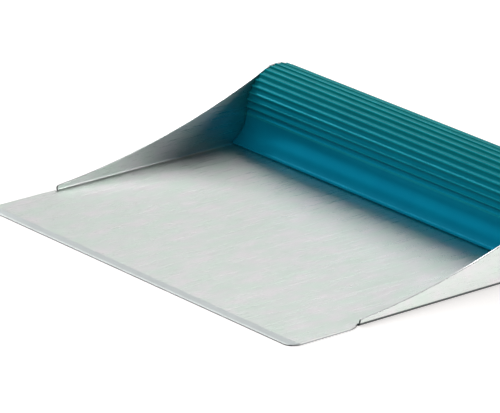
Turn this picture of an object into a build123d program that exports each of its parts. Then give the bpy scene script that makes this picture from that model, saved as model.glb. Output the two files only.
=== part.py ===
from build123d import *
import os
from math import cos, degrees, hypot, radians, sin

# Bench scraper and scoop: one folded steel sheet with a ribbed soft grip held between its wings.
# X runs from left to right, Y from the ground front edge back to the grip, Z up from the bench.
# The origin is on the bench, at the middle of the overall width and depth.
# "Depth" below is always the distance behind the front edge, and "height" that above the bench.

# ---- sheet ----
blade_width = 203.0           # flat blade, side to side
wing_inset = 0.4              # outside face of each wing, in from the blade's side
sheet = 1.0
bend_radius = 0.9             # inside radius of the fold under each wing
edge_break = 0.2              # softened upper edges of the sheet

# ---- blade outline ----
corner_radius = 5.0           # front corners
bevel_width = 3.8             # ground front edge
edge_thickness = 0.35         # steel left at the front edge
shoulder_length = 5.5         # stretch of the blade's side that curves in before each wing
left_shoulder_inset = 0.4
right_shoulder_inset = 2.0
relief_gap = 0.4              # slot between that shoulder and the wing

# ---- wing outline ----
wing_front = 35.8             # depth where the wings start
wing_front_height = 3.3
wing_front_rounding = 1.4
wing_front_slope = 4.5        # slope at which the top edge leaves that rounding
wing_top_slope = 24.4         # slope at which it meets the arc around the grip
wing_front_pull = 47.0        # control lengths of the top edge's curve
wing_rear_pull = 21.5
wing_step = 0.35              # wing edge below the rib crests

# ---- grip ----
grip_axis_depth = 155.5       # centre of the grip's round back
grip_axis_height = 16.0
grip_radius = 17.1            # over the rib crests
skirt_reach = 7.5             # lip ahead of the round front of the grip
lip_thickness = 1.7
skirt_radius = 13.5           # hollow face between the lip and the lowest rib
heel_rounding = 1.5           # lower rear edge
grip_end_gap = 0.1            # between each end of the grip and the wing

# ---- ribs ----
first_crest_angle = -7.6      # above the horizontal, at the front of the grip
rib_pitch = 10.7              # angle between two crests
rib_depth = 0.75
crest_width = 0.55
crest_rounding = 0.4

# ---- core and end plugs ----
grip_wall = 3.0               # soft layer from the crests to the core
fold_clearance = 0.6          # core above the top of the rounded folds
toe_reach = 4.2               # core's front toe ahead of its round front
core_fit = 0.05               # all round, between the grip and the core
core_wall = 2.0
core_web = 2.0                # upright wall in the middle of the core
plug_flange = 3.0
plug_tenon = 6.0
plug_fit = 0.15               # all round, between a tenon and the core
boss_gap = 0.8                # between a screw boss and the walls of the core
boss_length = 15.0

# ---- screws ----
screw_length = 14.0
thread_radius = 1.75
thread_fit = 0.02             # between the thread and its pilot hole
wing_hole_fit = 0.15          # between the thread and the hole in the wing
tip_chamfer = 0.8
head_radius = 3.6
head_height = 1.7
head_rounding = 1.2
recess_width = 0.9
recess_length = 4.0
recess_depth = 1.0

# ---- worked out from the sizes above ----
overall_depth = grip_axis_depth + grip_radius
front_y = -overall_depth / 2
wing_span = blade_width - 2 * wing_inset
wing_inside = wing_span / 2 - sheet
bend_outside = bend_radius + sheet
wing_radius = grip_radius - wing_step
wing_rear = grip_axis_depth + wing_radius
wing_top = grip_axis_height + wing_radius
core_radius = grip_radius - grip_wall
core_bottom = sheet + bend_radius + fold_clearance
core_half_length = wing_inside - plug_flange
grip_half_length = wing_inside - grip_end_gap
lip_depth = grip_axis_depth - grip_radius - skirt_reach
toe_depth = grip_axis_depth - core_radius - toe_reach
rib_count = 1 + int((180 - first_crest_angle) / rib_pitch)
cell_inner = core_web / 2
cell_outer = core_radius - core_wall
boss_radius = (cell_outer - cell_inner) / 2 - boss_gap
screw_offset = (cell_outer + cell_inner) / 2
screw_depths = {"front": grip_axis_depth - screw_offset, "rear": grip_axis_depth + screw_offset}

# Local x is the depth and local y the height; the normal is +X.
side_plane = Plane(origin=(0, front_y, 0), x_dir=(0, 1, 0), z_dir=(1, 0, 0))
# Local x is X and local y the depth; the normal is +Z.
plan_plane = Plane(origin=(0, front_y, 0), x_dir=(1, 0, 0), z_dir=(0, 0, 1))
# Cross-section where the wings start: local y is the height, and the normal is +Y.
cross_plane = Plane(origin=(0, front_y + wing_front, 0), x_dir=(-1, 0, 0), z_dir=(0, 1, 0))


def around_grip(angle, radius):
    """Depth and height of a point on a circle about the grip's axis, from the front upwards."""
    depth = grip_axis_depth - radius * cos(radians(angle))
    return depth, grip_axis_height + radius * sin(radians(angle))


def save(piece, name):
    piece.label = name
    export_step(piece, f"parts/{name}.step")


os.makedirs("parts", exist_ok=True)

# ---- scoop: blade, folds and wings are one sheet ----
wing_top_start = (wing_front + wing_front_rounding, wing_front_height)
wing_top_end = around_grip(90 - wing_top_slope, wing_radius)
rounding_middle = wing_front_rounding * (1 - cos(radians(45)))
front_slope = radians(wing_front_slope)
top_slope = radians(wing_top_slope)
fold_line = wing_span / 2 - bend_outside
shoulder_end = wing_front - relief_gap
floor_start = wing_front + bend_outside

with BuildPart() as scoop:
    # Channel with rounded folds, as high as the wings.
    with BuildSketch(cross_plane) as outside:
        with Locations((0, wing_top / 2)):
            Rectangle(wing_span, wing_top)
        fillet(outside.vertices().group_by(Axis.Y)[0], bend_outside)
    extrude(amount=wing_rear - wing_front)
    with BuildSketch(cross_plane) as inside:
        with Locations((0, sheet + wing_top / 2)):
            Rectangle(2 * wing_inside, wing_top)
        fillet(inside.vertices().group_by(Axis.Y)[0], bend_radius)
    extrude(amount=wing_rear - wing_front, mode=Mode.SUBTRACT)
    # Side outline, which shapes the wings and leaves the floor whole.
    with BuildSketch(side_plane):
        with BuildLine():
            Line((wing_front, 0), (wing_front, wing_front_height - wing_front_rounding))
            ThreePointArc(
                (wing_front, wing_front_height - wing_front_rounding),
                (wing_front + rounding_middle, wing_front_height - rounding_middle),
                wing_top_start,
            )
            Bezier(
                wing_top_start,
                (
                    wing_top_start[0] + wing_front_pull * cos(front_slope),
                    wing_top_start[1] + wing_front_pull * sin(front_slope),
                ),
                (
                    wing_top_end[0] - wing_rear_pull * cos(top_slope),
                    wing_top_end[1] - wing_rear_pull * sin(top_slope),
                ),
                wing_top_end,
            )
            ThreePointArc(
                wing_top_end, around_grip(130, wing_radius), around_grip(180, wing_radius)
            )
            Polyline(around_grip(180, wing_radius), (wing_rear, 0), (wing_front, 0))
        make_face()
    extrude(amount=wing_span, both=True, mode=Mode.INTERSECT)
    rim = scoop.edges().filter_by(
        lambda edge: edge.bounding_box().size.X < edge_break
        and edge.bounding_box().min.Z > bend_outside
    )
    fillet(rim, edge_break)
    # Flat blade in front of the wings, run on between the folds to meet the channel's floor.
    with BuildSketch(plan_plane) as blade:
        with Locations((0, shoulder_end / 2)):
            Rectangle(blade_width, shoulder_end)
        with Locations((0, (shoulder_end + floor_start) / 2)):
            Rectangle(2 * fold_line, floor_start - shoulder_end)
        front_corners = blade.vertices().group_by(Axis.Y)[0]
        fillet(front_corners, corner_radius)
        for side, inset in ((-1, left_shoulder_inset), (1, right_shoulder_inset)):
            blade_side = side * blade_width / 2
            shoulder_start = (blade_side, shoulder_end - shoulder_length)
            shoulder_tip = (blade_side - side * inset, shoulder_end)
            shoulder_arc = (shoulder_length**2 + inset**2) / (2 * inset)
            with BuildLine():
                RadiusArc(shoulder_start, shoulder_tip, -side * shoulder_arc)
                Polyline(shoulder_tip, (blade_side, shoulder_end), shoulder_start)
            make_face(mode=Mode.SUBTRACT)
    extrude(amount=sheet)
    # Ground front edge.
    with BuildSketch(side_plane):
        with BuildLine():
            Polyline(
                (0, edge_thickness), (bevel_width, sheet), (0, 2 * sheet), (0, edge_thickness)
            )
        make_face()
    extrude(amount=blade_width, both=True, mode=Mode.SUBTRACT)
    # Screw holes through both wings.
    with BuildSketch(side_plane):
        with Locations(*[(depth, grip_axis_height) for depth in screw_depths.values()]):
            Circle(thread_radius + wing_hole_fit)
    extrude(amount=wing_span, both=True, mode=Mode.SUBTRACT)
save(scoop.part, "scoop")

# ---- grip: a ribbed sleeve around the core ----
nose = lip_thickness / 2
lip_top = (lip_depth + nose, sheet + lip_thickness)
crest_edge = first_crest_angle - degrees(crest_width / 2 / grip_radius)
lowest_crest = around_grip(crest_edge, grip_radius)
half_pitch = radians(rib_pitch / 2)
flute_half_width = grip_radius * sin(half_pitch) - crest_width / 2
flute_rise = rib_depth - grip_radius * (1 - cos(half_pitch))
flute_radius = (flute_rise**2 + flute_half_width**2) / (2 * flute_rise)
flute_centres = [
    around_grip(
        first_crest_angle + rib_pitch * (rib + 0.5), grip_radius - rib_depth + flute_radius
    )
    for rib in range(rib_count - 1)
]


def from_grip_axis(vertex):
    return hypot(vertex.X - grip_axis_depth, vertex.Y - grip_axis_height)


with BuildSketch(side_plane) as core_section:
    with BuildLine():
        ThreePointArc(
            around_grip(first_crest_angle, core_radius),
            around_grip(90, core_radius),
            around_grip(180, core_radius),
        )
        Polyline(
            around_grip(180, core_radius),
            (grip_axis_depth + core_radius, core_bottom),
            (toe_depth, core_bottom),
            around_grip(first_crest_angle, core_radius),
        )
    make_face()

with BuildPart() as grip:
    with BuildSketch(side_plane) as ribbed:
        with BuildLine():
            ThreePointArc(
                (lip_depth + nose, sheet), (lip_depth, sheet + nose), lip_top
            )
            RadiusArc(lip_top, lowest_crest, -skirt_radius)
            ThreePointArc(
                lowest_crest, around_grip(90, grip_radius), around_grip(180, grip_radius)
            )
            Line(around_grip(180, grip_radius), (overall_depth, sheet + heel_rounding))
            RadiusArc(
                (overall_depth, sheet + heel_rounding),
                (overall_depth - heel_rounding, sheet),
                heel_rounding,
            )
            Line((overall_depth - heel_rounding, sheet), (lip_depth + nose, sheet))
        make_face()
        with Locations(*flute_centres):
            Circle(flute_radius, mode=Mode.SUBTRACT)
        crests = ribbed.vertices().filter_by(
            lambda vertex: abs(from_grip_axis(vertex) - grip_radius) < core_fit
            and vertex.X < overall_depth - core_fit
        )
        fillet(crests, crest_rounding)
    extrude(amount=grip_half_length, both=True)
    with BuildSketch(side_plane) as cavity:
        add(core_section.sketch_local)
        offset(amount=core_fit)
    extrude(amount=wing_span, both=True, mode=Mode.SUBTRACT)
    # Rounded lower corners at both ends, clear of the folds.
    with BuildSketch(cross_plane):
        with Locations((0, sheet + bend_radius / 2)):
            Rectangle(wing_span, bend_radius)
        with Locations((0, sheet + bend_radius)):
            SlotOverall(2 * grip_half_length, 2 * bend_radius, mode=Mode.SUBTRACT)
    extrude(amount=overall_depth, mode=Mode.SUBTRACT)
save(grip.part, "grip_sleeve")

# ---- core: a stiff hollow profile inside the grip ----
with BuildSketch(side_plane) as cells:
    add(core_section.sketch_local)
    offset(amount=-core_wall)
    with Locations((grip_axis_depth, grip_axis_height)):
        Rectangle(core_web, 2 * grip_radius, mode=Mode.SUBTRACT)

with BuildPart() as core:
    with BuildSketch(side_plane):
        add(core_section.sketch_local)
        add(cells.sketch_local, mode=Mode.SUBTRACT)
    extrude(amount=core_half_length, both=True)
save(core.part, "handle_core")


# ---- end plugs: each closes one end of the core and takes two screws ----
def end_plug(side):
    inner_face = side_plane.offset(side * core_half_length)
    with BuildPart() as plug:
        with BuildSketch(inner_face):
            add(core_section.sketch_local)
        extrude(amount=side * plug_flange)
        with BuildSketch(inner_face):
            add(cells.sketch_local)
            offset(amount=-plug_fit)
        extrude(amount=-side * plug_tenon)
        with BuildSketch(inner_face):
            with Locations(*[(depth, grip_axis_height) for depth in screw_depths.values()]):
                Circle(boss_radius)
        extrude(amount=-side * boss_length)
        with BuildSketch(side_plane.offset(side * wing_inside)):
            with Locations(*[(depth, grip_axis_height) for depth in screw_depths.values()]):
                Circle(thread_radius + thread_fit)
        extrude(amount=-side * screw_length, mode=Mode.SUBTRACT)
    return plug.part


# ---- screws: one pan head each, through a wing into a plug ----
def wing_screw(side, depth):
    seat = Plane(
        origin=(side * wing_span / 2, front_y + depth, grip_axis_height),
        x_dir=(0, 1, 0),
        z_dir=(side, 0, 0),
    )
    with BuildPart() as screw:
        with BuildSketch(seat):
            Circle(head_radius)
        extrude(amount=head_height)
        outer_rim = screw.edges().filter_by(GeomType.CIRCLE).sort_by(Axis.X)
        fillet(outer_rim[-1] if side > 0 else outer_rim[0], head_rounding)
        with BuildSketch(seat):
            Circle(thread_radius)
        extrude(amount=-screw_length)
        tip = screw.edges().filter_by(GeomType.CIRCLE).sort_by(Axis.X)
        chamfer(tip[0] if side > 0 else tip[-1], tip_chamfer)
        with BuildSketch(seat.offset(head_height)):
            Rectangle(recess_length, recess_width)
            Rectangle(recess_width, recess_length)
        extrude(amount=-recess_depth, mode=Mode.SUBTRACT)
    return screw.part


for side, hand in ((-1, "left"), (1, "right")):
    save(end_plug(side), f"end_plug_{hand}")
    for place, depth in screw_depths.items():
        save(wing_screw(side, depth), f"wing_screw_{hand}_{place}")
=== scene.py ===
import math

import bpy
from mathutils import Matrix, Vector


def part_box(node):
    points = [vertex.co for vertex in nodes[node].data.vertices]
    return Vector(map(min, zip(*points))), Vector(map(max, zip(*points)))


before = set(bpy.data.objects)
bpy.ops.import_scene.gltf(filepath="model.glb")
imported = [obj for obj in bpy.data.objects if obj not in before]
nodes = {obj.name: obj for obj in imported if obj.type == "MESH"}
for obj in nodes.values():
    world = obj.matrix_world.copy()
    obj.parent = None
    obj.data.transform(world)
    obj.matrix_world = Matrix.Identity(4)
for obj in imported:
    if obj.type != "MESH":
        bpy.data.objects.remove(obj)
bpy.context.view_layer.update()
scoop_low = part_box("scoop")[0]
grip_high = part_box("grip_sleeve")[1]

# ---- sizes of the model that the materials and the camera follow, in metres ----
SHEET = 0.001                                    # steel thickness
WING_DEPTH = 0.0358                              # from the front edge to the wings
EDGE_HIGHLIGHT_WIDTH = 0.0010                             # paler strip along the front edge, a painted highlight
GRIP_DEPTH, GRIP_HEIGHT = 0.1555, 0.016          # the grip's axis, from the front edge and the bench
GRIP_RADIUS = 0.0171                             # from the grip's axis to the top of a rib
CREST_HIGHLIGHT_DEPTH = 0.00013                            # how far down a rib its painted highlight reaches
FRONT = Vector((0, scoop_low.y, 0))              # middle of the front edge, on the bench
wing_start = scoop_low.y + WING_DEPTH
grip_axis = FRONT + Vector((0, GRIP_DEPTH, GRIP_HEIGHT))

# ---- colours, in linear values ----
GREEN_STEEL = (0.580, 0.655, 0.600)
MID_STEEL = (0.612, 0.645, 0.620)
PINK_STEEL = (0.665, 0.645, 0.655)
SPECK_STEEL = (0.54, 0.57, 0.56)
GROUND_STEEL = (0.65, 0.69, 0.69)
PAINTED_HIGHLIGHT_STEEL = (0.84, 0.88, 0.88)
RIM_STEEL = (0.50, 0.51, 0.51)
SHEARED_STEEL = (0.32, 0.33, 0.34)
# dark steel of the end faces, also used as a painted contact shadow under each fold
DARK_END_AND_SHADE_STEEL = (0.10, 0.11, 0.11)
PAINTED_LIT_LOW_TEAL = [(0.3, (0.0, 0.205, 0.340)), (0.7, (0.0, 0.225, 0.360))]
PAINTED_SHADED_HIGH_TEAL = [(0.3, (0.0, 0.123, 0.130)), (0.7, (0.0, 0.136, 0.143))]
PAINTED_CREST_HIGHLIGHT_TEAL = (0.01, 0.33, 0.40)
CORE_BLACK = [(0.3, (0.02, 0.022, 0.024)), (0.7, (0.03, 0.033, 0.036))]
SCREW_GREY = [(0.3, (0.62, 0.63, 0.64)), (0.7, (0.72, 0.73, 0.74))]


# ---- camera ----
def direction(azimuth, elevation):
    """Unit vector towards a viewer at that azimuth and elevation. Azimuth 0 looks along +Y."""
    a, e = math.radians(azimuth), math.radians(elevation)
    return Vector((math.sin(a) * math.cos(e), -math.cos(a) * math.cos(e), math.sin(e)))


def make_camera():
    azimuth, elevation = 51.287, 20.106
    distance = 2.2513
    aim_right, aim_up = 0.0472, 0.0287           # the view's centre, from the front edge's middle
    back = direction(azimuth, elevation)
    right = Vector((math.cos(math.radians(azimuth)), math.sin(math.radians(azimuth)), 0))
    up = back.cross(right)
    data = bpy.data.cameras.new("camera")
    data.lens = 397.03
    data.sensor_width = 36.0
    data.clip_start, data.clip_end = 0.05, 50.0
    camera = bpy.data.objects.new("camera", data)
    camera.matrix_world = Matrix.Translation(
        FRONT + right * aim_right + up * aim_up + back * distance
    ) @ Matrix((right, up, back)).transposed().to_4x4()
    bpy.context.scene.collection.objects.link(camera)
    bpy.context.scene.camera = camera


# ---- material helpers ----
class Nodes:
    """A material's node tree, with short calls to add and join nodes."""

    def __init__(self, name):
        self.material = bpy.data.materials.new(name)
        self.material.use_nodes = True
        self.tree = self.material.node_tree
        self.shader = self.tree.nodes["Principled BSDF"]

    def add(self, kind, **settings):
        node = self.tree.nodes.new(kind)
        for name, value in settings.items():
            setattr(node, name, value)
        return node

    def link(self, source, target):
        self.tree.links.new(source, target)

    def value(self, operation, first, second=0.0):
        """One math operation. Each item is a socket or a number."""
        node = self.add("ShaderNodeMath", operation=operation)
        for socket, item in zip(node.inputs, (first, second)):
            if isinstance(item, (int, float)):
                socket.default_value = item
            else:
                self.link(item, socket)
        return node.outputs[0]

    def position(self, scale=(1, 1, 1)):
        """Object coordinates, in metres, times a scale."""
        source = self.add("ShaderNodeTexCoord")
        mapping = self.add("ShaderNodeMapping")
        mapping.inputs["Scale"].default_value = scale
        self.link(source.outputs["Object"], mapping.inputs["Vector"])
        return mapping.outputs["Vector"]

    def noise(self, scale, detail=3.0, roughness=0.55):
        """Noise with about that many grains to the metre along each axis."""
        node = self.add("ShaderNodeTexNoise")
        node.inputs["Scale"].default_value = 1.0
        node.inputs["Detail"].default_value = detail
        node.inputs["Roughness"].default_value = roughness
        self.link(self.position(scale), node.inputs["Vector"])
        return node.outputs["Fac"]

    def spread(self, fac, low, high, source=(0.3, 0.7)):
        """Maps the source range to low and high, and holds the ends."""
        node = self.add("ShaderNodeMapRange")
        self.link(fac, node.inputs["Value"])
        for name, value in zip(("From Min", "From Max", "To Min", "To Max"), (*source, low, high)):
            node.inputs[name].default_value = value
        return node.outputs["Result"]

    def ramp(self, fac, stops):
        node = self.add("ShaderNodeValToRGB")
        elements = node.color_ramp.elements
        while len(elements) < len(stops):
            elements.new(0.5)
        for element, (place, colour) in zip(elements, stops):
            element.position = place
            element.color = (*colour, 1.0)
        self.link(fac, node.inputs["Fac"])
        return node.outputs["Color"]

    def mix(self, fac, first, second, amount=1.0):
        """From the first colour where fac is 0 to the second. Each is a socket or a tuple."""
        node = self.add("ShaderNodeMix", data_type="RGBA")
        self.link(self.value("MULTIPLY", fac, amount), node.inputs["Factor"])
        for socket, item in zip((node.inputs[6], node.inputs[7]), (first, second)):
            if isinstance(item, tuple):
                socket.default_value = (*item, 1.0)
            else:
                self.link(item, socket)
        return node.outputs[2]

    def split(self, source):
        node = self.add("ShaderNodeSeparateXYZ")
        self.link(source, node.inputs[0])
        return node.outputs

    def bump(self, height, distance, strength):
        node = self.add("ShaderNodeBump")
        node.inputs["Strength"].default_value = strength
        node.inputs["Distance"].default_value = distance
        self.link(height, node.inputs["Height"])
        return node.outputs["Normal"]

    def set(self, **values):
        """Sets even values on the shader's sockets of those names."""
        for name, value in values.items():
            self.shader.inputs[name.replace("_", " ")].default_value = value


# ---- materials ----
def below(m, value, limit):
    return m.value("LESS_THAN", value, limit)


def both(m, first, second):
    """A product, which is "and" between masks of 0 and 1."""
    return m.value("MULTIPLY", first, second)


def brushed_steel():
    """Sheet brushed from front to back, so that its reflections blur from side to side."""
    m = Nodes("brushed_stainless")
    hair = m.noise((2600, 60, 2600), detail=4.0, roughness=0.65)
    streak = m.noise((520, 40, 520))
    speck = m.noise((1500, 400, 1500), detail=2.0)
    tint = m.noise((110, 70, 110), detail=4.0)
    face = m.ramp(tint, [(0.35, GREEN_STEEL), (0.5, MID_STEEL), (0.65, PINK_STEEL)])
    face = m.mix(m.spread(speck, 0.0, 1.0), face, SPECK_STEEL, amount=0.3)

    geometry = m.add("ShaderNodeNewGeometry")
    normal, place = m.split(geometry.outputs["Normal"]), m.split(geometry.outputs["Position"])
    # limits on the parts of the unit normal
    forward, upward, sideways, end_on = -0.1, 0.5, 0.3, 0.7
    fold_tilt, fold_reach = 0.56, 0.41
    # the ground front edge, and a painted highlight along its foremost strip
    flat = below(m, place["Z"], 1.05 * SHEET)
    ground = both(m, flat, below(m, normal["Y"], forward))
    painted_edge_highlight = both(m, ground, below(m, place["Y"], scoop_low.y + EDGE_HIGHLIGHT_WIDTH))
    # the lower half of the blade's cut sides, ahead of the wings
    side = m.value("GREATER_THAN", m.value("ABSOLUTE", normal["X"]), sideways)
    sheared = both(m, side, below(m, place["Y"], wing_start))
    sheared = both(m, sheared, below(m, place["Z"], 0.5 * SHEET))
    # faces that look forward or back, and the outside of each fold, where a contact shadow under the
    # bend is painted dark
    ends = m.value("GREATER_THAN", m.value("ABSOLUTE", normal["Y"]), end_on)
    painted_fold_shadow = below(m, m.value("ABSOLUTE", m.value("ADD", normal["Z"], fold_tilt)), fold_reach)
    # the upper edges of the wings
    rim = m.value("GREATER_THAN", place["Z"], 3 * SHEET)
    rim = m.value("GREATER_THAN", both(m, normal["Z"], rim), upward)

    colour = m.mix(ground, face, GROUND_STEEL)
    # painted highlight: very pale steel along the front of the ground edge
    colour = m.mix(painted_edge_highlight, colour, PAINTED_HIGHLIGHT_STEEL)
    colour = m.mix(rim, colour, RIM_STEEL)
    colour = m.mix(sheared, colour, SHEARED_STEEL)
    # dark on the end faces, and painted shade on the folds' undersides standing in for their contact
    # shadow
    colour = m.mix(m.value("MAXIMUM", ends, painted_fold_shadow), colour, DARK_END_AND_SHADE_STEEL)
    m.link(colour, m.shader.inputs["Base Color"])
    rough = m.value("ADD", m.spread(hair, 0.24, 0.40), m.value("MULTIPLY", ground, 0.2))
    m.link(m.value("ADD", rough, m.spread(streak, -0.018, 0.018)), m.shader.inputs["Roughness"])
    m.link(m.bump(hair, 0.00003, 0.4), m.shader.inputs["Normal"])
    m.set(Metallic=1.0, Anisotropic=0.95)
    tangent = m.add("ShaderNodeTangent", direction_type="RADIAL", axis="Y")
    m.link(tangent.outputs["Tangent"], m.shader.inputs["Tangent"])
    return m.material


def teal_rubber():
    """Teal with painted light: lighter and bluer low on the front, darker and greener on top and
    behind, and a painted highlight along the top of each rib.
    """
    m = Nodes("teal_grip")
    grain = m.noise((2500, 2500, 2500))
    cloud = m.noise((60, 60, 60), detail=2.0)
    place = m.split(m.position())
    # painted light and shade: a lit, bluer teal low on the front, and a shaded, greener teal high up
    # and behind the axis
    height = m.spread(place["Z"], 0.0, 1.0, source=(0.3 * grip_high.z, grip_high.z))
    behind = m.value("GREATER_THAN", place["Y"], grip_axis.y)
    low, high = m.ramp(cloud, PAINTED_LIT_LOW_TEAL), m.ramp(cloud, PAINTED_SHADED_HIGH_TEAL)
    colour = m.mix(m.value("MAXIMUM", height, behind), low, high)
    # the painted highlight: a paler line close to the ribs' outer radius, in front of the grip's
    # axis
    deep = m.value("SUBTRACT", place["Y"], grip_axis.y)
    tall = m.value("SUBTRACT", place["Z"], grip_axis.z)
    reach = m.value("SQRT", m.value("ADD", both(m, deep, deep), both(m, tall, tall)))
    painted_crest_highlight = below(m, m.value("ABSOLUTE", m.value("SUBTRACT", reach, GRIP_RADIUS)), CREST_HIGHLIGHT_DEPTH)
    painted_crest_highlight = both(m, painted_crest_highlight, below(m, place["Y"], grip_axis.y))
    colour = m.mix(painted_crest_highlight, colour, PAINTED_CREST_HIGHLIGHT_TEAL, amount=0.5)
    m.link(colour, m.shader.inputs["Base Color"])
    m.link(m.spread(grain, 0.28, 0.38), m.shader.inputs["Roughness"])
    m.link(m.bump(grain, 0.00003, 0.3), m.shader.inputs["Normal"])
    m.set(Metallic=0.4, IOR=1.15, Specular_Tint=(0.0, 0.75, 0.80, 1))
    return m.material


def core_plastic():
    """Moulded black plastic of the core and its end plugs."""
    m = Nodes("core_plastic")
    grain = m.noise((1800, 1800, 1800))
    m.link(m.ramp(grain, CORE_BLACK), m.shader.inputs["Base Color"])
    m.link(m.spread(grain, 0.45, 0.6), m.shader.inputs["Roughness"])
    m.link(m.bump(grain, 0.00003, 0.4), m.shader.inputs["Normal"])
    return m.material


def screw_steel():
    """Bright steel of the wing screws, with a grain drawn out along their axis."""
    m = Nodes("screw_steel")
    grain = m.noise((1500, 6000, 6000))
    m.link(m.ramp(grain, SCREW_GREY), m.shader.inputs["Base Color"])
    m.link(m.spread(grain, 0.2, 0.32), m.shader.inputs["Roughness"])
    m.link(m.bump(grain, 0.00001, 0.4), m.shader.inputs["Normal"])
    m.set(Metallic=1.0)
    return m.material


def bench():
    """Lit from within as well, so that it stays white around the object."""
    m = Nodes("bench")
    m.set(Base_Color=(0.6, 0.6, 0.6, 1), Roughness=0.9)
    m.set(Emission_Color=(1.0, 0.97, 0.955, 1), Emission_Strength=0.67)
    return m.material


def paint(node, material):
    mesh = nodes[node].data
    for index in range(len(mesh.materials)):
        mesh.materials[index] = material
    if not mesh.materials:
        mesh.materials.append(material)


# ---- bench and lights ----
def area_light(name, azimuth, elevation, distance, size, power):
    """A round light of that many watts, aimed at the origin."""
    data = bpy.data.lights.new(name, "AREA")
    data.shape = "DISK"
    data.size = size
    data.energy = power
    light = bpy.data.objects.new(name, data)
    towards = direction(azimuth, elevation)
    light.location = towards * distance
    light.rotation_mode = "QUATERNION"
    light.rotation_quaternion = towards.to_track_quat("Z", "Y")
    bpy.context.scene.collection.objects.link(light)


def make_stage():
    world = bpy.data.worlds.new("studio")
    world.use_nodes = True
    background = world.node_tree.nodes["Background"]
    background.inputs["Color"].default_value = (1.0, 1.0, 1.0, 1)
    background.inputs["Strength"].default_value = 0.10
    bpy.context.scene.world = world
    half = 6.0
    mesh = bpy.data.meshes.new("bench")
    corners = [(-half, -half, 0), (half, -half, 0), (half, half, 0), (-half, half, 0)]
    mesh.from_pydata(corners, [], [(0, 1, 2, 3)])
    floor = bpy.data.objects.new("bench", mesh)
    floor.data.materials.append(bench())
    bpy.context.scene.collection.objects.link(floor)
    area_light("back_softbox", -140, 41, 2.0, 1.7, 11.6)
    area_light("left_key", -107, 40, 1.8, 0.5, 6)
    area_light("side_softbox", 127, 13, 2.0, 0.6, 6.6)
    area_light("front_fill", -20, 56, 2.2, 2.4, 23)
    area_light("skirt_light", -52, 22, 2.0, 1.0, 2.9)
    view = bpy.context.scene.view_settings
    view.view_transform = "Standard"
    view.look = "None"


make_camera()
make_stage()
steel, rubber, plastic, bright = brushed_steel(), teal_rubber(), core_plastic(), screw_steel()
for name in nodes:
    if name == "scoop":
        paint(name, steel)
    elif name == "grip_sleeve":
        paint(name, rubber)
    elif name.startswith("wing_screw"):
        paint(name, bright)
    else:
        paint(name, plastic)
